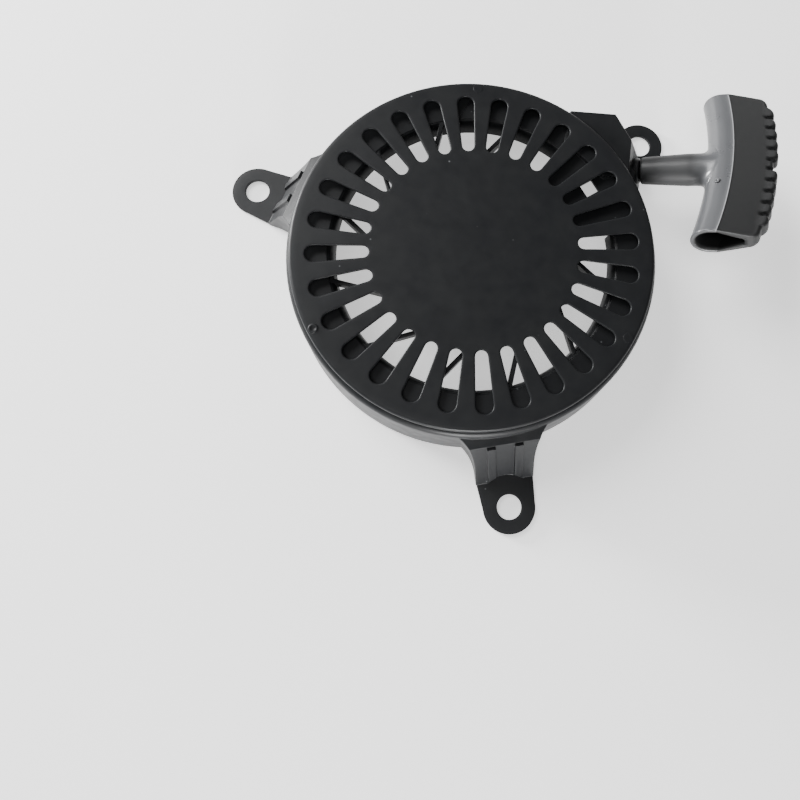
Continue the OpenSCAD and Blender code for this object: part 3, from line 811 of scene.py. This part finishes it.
@dataclass(frozen=True)
class Handle:
    """The bowed, hollow T-handle. Its section is a half-round front with flats that taper back.

    The inner surface lies a wall inside the outer one, and further in at the back. Finger ridges
    stand on the back and notches bite between them. The stem ends in a fillet, whose foot on the
    front is an oval. X is the pull, Y runs along the grip and Z across it.
    """

    line: PullLine
    length: float = 88.0
    offset: float = -1.1
    depth: float = 32.0
    bow: float = 5.2
    front_thickness: float = 19.6
    shoulder: float = 3.0
    shoulder_steps: tuple[float, ...] = (0.5, 0.88, 1.0, 1.12)
    flash_height: float = 0.25
    back_thickness: float = 10.0
    back_round: float = 2.4
    back_corner: float = 3.4
    wall: float = 2.4
    back_wall: float = 6.24
    lip: float = 0.7
    ridges: int = 5
    ridge_gap: float = 3.0
    ridge_pitch: float = 6.9
    ridge_height: float = 2.3
    ridge_band: float = 3.2
    ridge_fade: float = 2.0
    notch_half_width: float = 1.15
    notch_depth: float = 1.9
    notch_band: float = 2.6
    notch_fade: float = 0.5
    stem_length: float = 34.4
    stem_diameter: float = 14.2
    stem_taper: float = 1.8
    stem_inside: float = 4.0
    stem_sides: int = 72
    nose: float = 0.4
    nose_round: float = 1.2
    bore: float = 4.4
    bore_chamfer: tuple[float, float] = (0.8, 0.6)
    shank_start: float = 3.0
    fillet_start: float = 10.0
    fillet_foot: tuple[float, float] = (16.0, 8.9)
    fillet_lead: float = 8.5
    fillet_hold: tuple[float, float] = (6.0, 1.6)
    fillet_tuck: float = 1.2
    # the stem's share of the front's painted sheen colour and of its gloss, which rises to the whole over the
    # fillet
    stem_zone: float = 0.1
    zone_start: float = 8.0
    zone_run: float = 9.0
    front_points: int = 37
    flat_points: int = 17
    round_points: int = 8
    rear_points: int = 7
    lip_points: int = 5
    nose_points: int = 6
    shank_points: int = 16
    fillet_points: int = 15
    stations: int = 301
    inner_stations: int = 40
    inner_margin: float = 0.3
    nub: Nub = Nub()

    def outline(self, inset: float) -> tuple[Points, np.ndarray, np.ndarray]:
        """The section's closed outline and two weights along it.

        The flash line stands where the parallel shoulder ends and the flats begin.

        Args:
            inset: how far inside the outer surface it lies; the wall's thickness is the inner one.

        Returns:
            Points of x and thickness, the zone (1 front, 2 flash line, 0 flats), and the back's weight.
        """
        inner = inset >= self.wall
        radius = self.front_thickness / 2 - inset
        centre = self.stem_length + self.front_thickness / 2
        back = self.stem_length + self.depth - (self.back_wall if inner else inset)
        half = self.back_thickness / 2 - inset
        corner = min(self.back_round, half * 0.8)
        flash = 0.0 if inner else self.flash_height
        mirror = np.array([1.0, -1.0])
        front = arc(centre, 0.0, radius, 270.0, 90.0, self.front_points)
        steps = np.array(self.shoulder_steps) * self.shoulder
        top = np.stack([centre + steps, radius + flash * np.array([0.0, 0.0, 1.0, 0.0])], axis=-1)
        low = top[::-1] * mirror
        upper = arc(back - corner, half - corner, corner, 90.0, 0.0, self.round_points)
        lower = upper[::-1] * mirror
        points = np.vstack([
            front, top, between(top[-1], upper[0], self.flat_points),
            upper, between(upper[-1], lower[0], self.rear_points),
            lower, between(lower[-1], low[0], self.flat_points), low,
        ])
        zone = np.zeros(len(points))
        zone[:self.front_points + 4] = 1.0
        zone[self.front_points + 2:self.front_points + 4] = (2.0, 0.0)
        zone[-4:] = (0.0, 2.0, 1.0, 1.0)
        back_weight = np.clip((points[:, 0] - (back - self.ridge_band)) / self.ridge_fade, 0.0, 1.0)
        return points, zone, back_weight

    def bowed(self, y: float | np.ndarray) -> float | np.ndarray:
        """How far the grip sweeps towards the engine: the bow times the square of y in half lengths."""
        return -self.bow * (y / (self.length / 2)) ** 2

    def ridge(self, y: np.ndarray) -> np.ndarray:
        """Height of the finger ridges: two groups of half-round bumps with a gap between them.

        Args:
            y: places along the grip.

        Returns:
            The height at each: the root of one less the square of the place in a bump's half widths.
        """
        turn = (np.abs(y) - self.ridge_gap) / self.ridge_pitch
        inside = (turn > 0.0) & (turn < self.ridges)
        across = (turn - np.floor(turn)) * 2.0 - 1.0
        return np.where(inside, self.ridge_height * np.sqrt(np.clip(1.0 - across ** 2, 0.0, 1.0)), 0.0)

    def notch(self, y: np.ndarray) -> np.ndarray:
        """How deep the notches between the ridges bite.

        Args:
            y: places along the grip.

        Returns:
            0 to 1 at each: e to minus the sixth power of the distance in a notch's half widths.
        """
        turn = (np.abs(y) - self.ridge_gap) / self.ridge_pitch
        away = np.abs(turn - np.clip(np.round(turn), 0, self.ridges - 1)) * self.ridge_pitch
        return np.exp(-(away / self.notch_half_width) ** 6)

    def tube(self) -> tuple[Points, np.ndarray]:
        """The grip's wall as one closed sweep: outside, round its end, back inside, round the other.

        The back's corners are rounded in the plane of the bow, most at the back itself.

        Returns:
            Grid of stations by outline points in the pull's frame, and the zone of each.
        """
        half = self.length / 2
        outer_y = np.linspace(-half + self.lip, half - self.lip, self.stations)
        turn = np.radians(np.linspace(0.0, 90.0, self.lip_points))
        lip_in = self.lip * (1.0 - np.cos(turn))
        lip_y = half - self.lip + self.lip * np.sin(turn)
        inner_y = np.linspace(half - self.inner_margin, -half + self.inner_margin, self.inner_stations)
        y = np.concatenate([outer_y, lip_y[1:], inner_y, -lip_y[:0:-1]])
        inset = np.concatenate([
            np.zeros(len(outer_y)), lip_in[1:], np.full(len(inner_y), self.wall), lip_in[:0:-1],
        ])
        table = {float(level): self.outline(float(level)) for level in np.unique(inset)}
        section, zone, back = (np.stack([table[float(level)][k] for level in inset]) for k in range(3))
        outside = (inset < self.wall)[:, None]
        x = section[..., 0] + self.bowed(y)[:, None] + back * outside * self.ridge(y)[:, None]
        past = np.clip(np.abs(y) - (half - self.back_corner), 0.0, self.back_corner)
        cut = self.back_corner - np.sqrt(np.clip(self.back_corner ** 2 - past ** 2, 0.0, None))
        reach = np.clip((section[..., 0] - self.stem_length) / self.depth, 0.0, 1.0) ** 3
        x = x - cut[:, None] * reach * outside
        bite = self.notch(y)[:, None] * outside * self.notch_depth
        band = self.stem_length + self.depth - self.notch_band
        near_back = np.clip((section[..., 0] - band) / self.notch_fade, 0.0, 1.0)
        z = section[..., 1] * (1.0 - bite * near_back / (self.back_thickness / 2))
        grid = np.stack([x, np.broadcast_to(y[:, None] + self.offset, x.shape), z], axis=-1)
        return grid, zone * outside

    def stem(self) -> Points:
        """The stem with its bore, ending in a fillet that runs out on the grip's round front.

        Each angle has a profile: the bore, the rounded nose, the tapering shank, and a cubic curve
        that leaves the shank along the pull and meets the front along its own surface.

        Returns:
            Grid of angles by profile points in the pull's frame.
        """
        angle = np.linspace(0.0, TAU, self.stem_sides, endpoint=False)
        c, s = np.cos(angle)[:, None], np.sin(angle)[:, None]
        r0, bore_r = self.stem_diameter / 2, self.bore / 2
        inside = self.stem_length + self.stem_inside
        end_round = arc(self.nose + self.nose_round, r0 - self.nose_round, self.nose_round,
                        180.0, 90.0, self.nose_points)
        shank_x = np.linspace(self.nose + self.shank_start, self.stem_length - self.fillet_start,
                              self.shank_points)
        shank_r = r0 + self.stem_taper * (shank_x - self.nose) / (self.stem_length - self.nose)
        profile = np.vstack([
            [[inside, bore_r], [self.nose + self.bore_chamfer[0], bore_r],
             [self.nose, bore_r + self.bore_chamfer[1]]],
            end_round, np.stack([shank_x, shank_r], axis=-1),
        ])
        body = np.empty((self.stem_sides, len(profile), 3))
        body[..., 0] = profile[None, :, 0]
        body[..., 1] = c * profile[None, :, 1]
        body[..., 2] = s * profile[None, :, 1]
        radius = self.front_thickness / 2
        start = body[:, -1]
        y_end, z_end = self.fillet_foot[0] * c[:, 0], self.fillet_foot[1] * s[:, 0]
        depth = np.sqrt(radius ** 2 - z_end ** 2)
        sweep = self.bowed(y_end - self.offset)
        end = np.stack([self.stem_length + radius - depth + sweep, y_end, z_end], axis=-1)
        slope = z_end ** 2 / depth - 2.0 * self.bow * y_end ** 2 / (self.length / 2) ** 2
        leave = np.stack([slope, y_end, z_end], axis=-1)
        leave /= np.linalg.norm(leave, axis=-1, keepdims=True)
        first = start + np.array([self.fillet_lead, 0.0, 0.0])
        second = end - leave * (self.fillet_hold[0] * np.abs(c) + self.fillet_hold[1] * np.abs(s))
        t = np.linspace(0.0, 1.0, self.fillet_points)[1:, None]
        curve = (start[:, None] * (1 - t) ** 3 + 3 * first[:, None] * t * (1 - t) ** 2
                 + 3 * second[:, None] * t ** 2 * (1 - t) + end[:, None] * t ** 3)
        tuck = curve[:, -1:] + np.array([self.fillet_tuck, 0.0, 0.0])
        close = np.concatenate([np.full((self.stem_sides, 1, 1), inside),
                                c[:, :, None] * bore_r, s[:, :, None] * bore_r], axis=-1)
        return np.concatenate([body, curve, tuck, close], axis=1)

    def build(self, finishes: Materials) -> bpy.types.Object:
        """Builds the grip, its stem and the gate's stub as one moulding.

        Args:
            finishes: slot name to material.

        Returns:
            The piece.
        """
        sheet = Sheet("grip_moulding")
        grid, zone = self.tube()
        sheet.add(self.line.place(grid), wrap_rows=True, wrap_columns=True, value=zone)
        stem = self.stem()
        # the stem takes a tenth of the front's painted sheen, fading in to all of it over the fillet
        share = np.clip((stem[..., 0] - self.stem_length + self.zone_start) / self.zone_run, 0.0, 1.0)
        sheet.add(self.line.place(stem), wrap_rows=True,
                  value=self.stem_zone + (1.0 - self.stem_zone) * share)
        radius = self.front_thickness / 2
        axis = np.array([self.stem_length + radius + float(self.bowed(self.nub.along)),
                         self.nub.along, 0.0])
        # the gate's stub takes the front's painted sheen colour
        sheet.add(self.line.place(self.nub.grid(axis, radius)), wrap_rows=True, value=1.0)
        piece = sheet.build()
        dress(piece, finishes["grip_plastic"])
        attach(piece, "handle")
        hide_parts("handle_grip")
        return piece


# ---------------------------------------------------------------- rope


@dataclass(frozen=True)
class Braid:
    """Braided nylon cord: its plaits are in the mesh, and this adds their colour, painted shade in the
    valleys between them, and their fibres.

    The fibres are drawn 0.4 mm apart, so that they show.
    """

    name: str = "braided_nylon_rope"
    crown: str = "#8b8c8e"
    # the crowns have the cord's own grey; this dark colour is painted shade in the valleys between the plaits
    painted_valley_shade: str = "#232425"
    fibres: float = 2600.0
    fibre_mm: float = 0.06

    def build(self) -> bpy.types.Material:
        """Makes the material, which paints shade into the valleys between plaits by the piece's zone.

        Returns:
            The new material.
        """
        material = bpy.data.materials.new(self.name)
        material.use_nodes = True
        tree = material.node_tree
        shader = tree.nodes["Principled BSDF"]
        shader.inputs["Roughness"].default_value = 0.78
        shader.inputs["Sheen Weight"].default_value = 0.25
        zone = add_node(tree, "ShaderNodeAttribute", attribute_name="zone")
        place = add_node(tree, "ShaderNodeTexCoord")
        # the zone mixes painted shade in the valleys with the crowns' own grey
        colour = add_node(tree, "ShaderNodeMix", {MIX_A: linear(self.painted_valley_shade), MIX_B: linear(self.crown)},
                          {"Factor": zone.outputs["Fac"]}, data_type="RGBA")
        tree.links.new(colour.outputs[MIX_OUT], shader.inputs["Base Color"])
        fibres = add_node(tree, "ShaderNodeTexNoise", {"Scale": self.fibres, "Detail": 4.0},
                          {"Vector": place.outputs["Object"]})
        bump = add_node(tree, "ShaderNodeBump", {"Strength": 0.5, "Distance": self.fibre_mm * MM},
                        {"Height": fibres.outputs["Fac"]})
        tree.links.new(bump.outputs["Normal"], shader.inputs["Normal"])
        return material


@dataclass(frozen=True)
class RopePiece:
    """A length of braided rope swept along a path of points in the part's frame."""

    name: str
    path: Points
    node: str
    diameter: float = 3.6
    strands: int = 8
    lay: float = 9.0
    relief: float = 0.16
    step: float = 0.55
    sides: int = 24

    def build(self, finishes: Materials) -> bpy.types.Object:
        """Sweeps the braid. A point's radius is the rope's, less the relief times a plait pattern.

        Two sets of plaits run round the rope in opposite senses; the pattern is the larger of
        their two sines, so each plait dives where the other crosses it.

        Args:
            finishes: slot name to material.

        Returns:
            The piece, which rides on nothing yet.
        """
        legs = np.linalg.norm(np.diff(self.path, axis=0), axis=1)
        along = np.concatenate([[0.0], np.cumsum(legs)])
        s = np.linspace(0.0, along[-1], int(along[-1] / self.step))
        centre = np.stack([np.interp(s, along, self.path[:, k]) for k in range(3)], axis=-1)
        ahead = np.gradient(centre, s, axis=0)
        ahead /= np.linalg.norm(ahead, axis=1, keepdims=True)
        # a direction that no stretch of the rope takes, to measure its sides from
        nearly_up = np.array([0.02, 0.03, 1.0])
        side = np.cross(ahead, nearly_up)
        side /= np.linalg.norm(side, axis=1, keepdims=True)
        over = np.cross(side, ahead)
        angle = np.linspace(0.0, TAU, self.sides, endpoint=False)[None]
        turn = TAU * s[:, None] / self.lay
        half = self.strands / 2
        plait = np.maximum(np.abs(np.sin(half * (angle + turn))), np.abs(np.sin(half * (angle - turn))))
        radius = self.diameter / 2 - self.relief * (1.0 - plait) * 2.0
        grid = (centre[:, None] + radius[..., None] * np.cos(angle)[..., None] * side[:, None]
                + radius[..., None] * np.sin(angle)[..., None] * over[:, None])
        tips = [np.broadcast_to(centre[end], (1, self.sides, 3)) for end in (0, -1)]
        sheet = Sheet(self.name)
        # the lowest part of the pattern is all valleys, painted wholly in the dark shade
        shade = np.clip(plait * 1.4 - 0.4, 0.0, 1.0)
        sheet.add(np.concatenate([tips[0], grid, tips[1]]), wrap_columns=True,
                  value=np.vstack([shade[:1], shade, shade[-1:]]))
        piece = sheet.build()
        dress(piece, finishes["rope"])
        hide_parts(self.node)
        return piece


@dataclass(frozen=True)
class Rope:
    """The starter rope: wound on the pulley, led to the guide, and on into the handle."""

    line: PullLine
    height: float = 24.5
    inner_radius: float = 26.1
    pitch: float = 3.8
    turns: float = 4.7
    turn_points: int = 120
    lead_points: int = 60
    leave: float = 101.6
    guide_depth: float = 7.5
    guide_run: float = 3.0
    bend_start: float = 0.93
    knot_depth: float = 39.5

    def coil(self) -> Points:
        """The wound turns: a flat spiral whose radius grows by the pitch at each turn.

        Returns:
            The path from the knot to where the rope leaves the pulley.
        """
        t = np.linspace(0.0, self.turns, int(self.turns * self.turn_points))
        radius = self.inner_radius + self.pitch * t
        angle = np.radians(self.leave + 360.0 * (self.turns - t))
        return np.stack([radius * np.cos(angle), radius * np.sin(angle),
                         np.full(len(t), self.height)], axis=-1)

    def lead(self) -> Points:
        """The run from the outer turn to the guide, with a soft quadratic bend where it enters.

        Returns:
            The path from the pulley into the guide.
        """
        start = self.coil()[-1]
        ahead = self.line.axes()[0]
        guide = np.array(self.line.mouth) - self.guide_depth * ahead
        t = np.linspace(0.0, 1.0, self.lead_points)[:, None]
        near = start + self.bend_start * (guide - start)
        run = start + t * (near - start)
        through = guide + self.guide_run * ahead
        bend = near * (1 - t) ** 2 + 2 * guide * t * (1 - t) + through * t ** 2
        return np.vstack([run, bend[1:]])

    def strand(self) -> Points:
        """The straight run from the guide to the knot in the handle, as its two ends."""
        ends = np.array([[self.guide_run - self.guide_depth, 0.0, 0.0], [self.knot_depth, 0.0, 0.0]])
        return self.line.place(ends)

    def build(self, finishes: Materials) -> list[bpy.types.Object]:
        """Builds the three lengths; the straight one runs from the guide to the knot in the handle.

        Args:
            finishes: slot name to material.

        Returns:
            The pieces.
        """
        coil = RopePiece("rope_wound", self.coil(), "rope_coil", sides=16, step=0.7).build(finishes)
        lead = RopePiece("rope_led", self.lead(), "rope_lead", diameter=3.56).build(finishes)
        strand = RopePiece("rope_strand", self.strand(), "rope_tail", step=0.2).build(finishes)
        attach(coil, "pulley")
        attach(lead, "root")
        ends = self.strand() * MM
        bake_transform(strand)
        return [coil, lead, strand]


# ---------------------------------------------------------------- pieces with softened edges


@dataclass(frozen=True)
class Softened:
    """A CAD node whose hard edges are rounded, as those of pressed, turned and moulded parts are.

    Edges sharper than an angle in degrees are rounded. The flat faces keep their own normals.
    """

    node: str
    body: str
    finish: str
    rounding: float
    sharp: float = 36.0

    def build(self, frame: dict[str, Any], finishes: Materials) -> bpy.types.Object:
        """Copies the node and bevels its sharp edges.

        Args:
            finishes: slot name to material.

        Returns:
            The piece.
        """
        mesh = frame["nodes"][self.node].data.copy()
        mesh.name = f"{self.node}_finished"
        work = bmesh.new()
        work.from_mesh(mesh)
        bmesh.ops.remove_doubles(work, verts=work.verts, dist=COPY_MERGE_MM * MM)
        work.to_mesh(mesh)
        work.free()
        mesh.shade_smooth()
        piece = bpy.data.objects.new(mesh.name, mesh)
        bpy.context.collection.objects.link(piece)
        bevel = piece.modifiers.new("rounded_edges", "BEVEL")
        bevel.width = self.rounding * MM
        bevel.segments = 2
        bevel.limit_method = "ANGLE"
        bevel.angle_limit = math.radians(self.sharp)
        bevel.use_clamp_overlap = False
        weighted = piece.modifiers.new("flat_faces_stay_flat", "WEIGHTED_NORMAL")
        weighted.mode = "FACE_AREA_WITH_ANGLE"
        weighted.weight = 100
        dress(piece, finishes[self.finish])
        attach(piece, self.body)
        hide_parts(self.node)
        return piece


SOFTENED = (
    Softened("housing", "root", "black_steel", 0.35),
    Softened("centre_post", "root", "bare_steel", 0.2),
    Softened("rope_guide", "root", "black_steel", 0.2),
    Softened("centre_screw", "root", "zinc_steel", 0.25),
    Softened("retaining_washer", "root", "zinc_steel", 0.15),
    Softened("pulley", "pulley", "pulley_nylon", 0.3),
    Softened("spring_cover", "pulley", "bare_steel", 0.15),
    Softened("pawl_pins", "pulley", "bare_steel", 0.15),
    Softened("cam_plate", "cam_plate", "zinc_steel", 0.15),
    Softened("pawl_1", "pawl_1", "pulley_nylon", 0.3),
    Softened("pawl_2", "pawl_2", "pulley_nylon", 0.3),
    Softened("handle_washer", "handle", "zinc_steel", 0.1),
)

# The nodes that the worked-out pieces stand for
REPLACED = {"screen_disc", "screen_rivets", "handle_grip", "rope_coil", "rope_lead", "rope_tail"}


def carried_over(frame: dict[str, Any], finishes: Materials) -> None:
    """Dresses the CAD nodes that no piece replaces: the springs and the rope's knots.

    Args:
        finishes: slot name to material.
    """
    done = REPLACED | {part.node for part in SOFTENED}
    for part in frame["record"]["subparts"]:
        if part["node"] not in done:
            dress(frame["nodes"][part["node"]], finishes[part["material_slot"]])


def main() -> None:
    """Builds the starter's looks, sub-assembly by sub-assembly."""
    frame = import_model()
    Studio().build()
    finishes = {
        "black_steel": ENAMEL.build(),
        "bare_steel": BARE_STEEL.build(),
        "zinc_steel": ZINC.build(),
        "spring_steel": SPRING_STEEL.build(),
        "pulley_nylon": NYLON.build(),
        "grip_plastic": GripPlastic().build(),
        "rope": Braid().build(),
    }
    line = PullLine()
    pieces = [ScreenDisc().build(finishes), ScreenRivets().build(finishes),
              Handle(line).build(finishes), *Rope(line).build(finishes)]
    pieces += [part.build(frame, finishes) for part in SOFTENED]
    for piece in pieces:
        LOG.info("%s: %d faces", piece.name, len(piece.data.polygons))
    carried_over(frame, finishes)


if __name__ == "__main__":
    main()
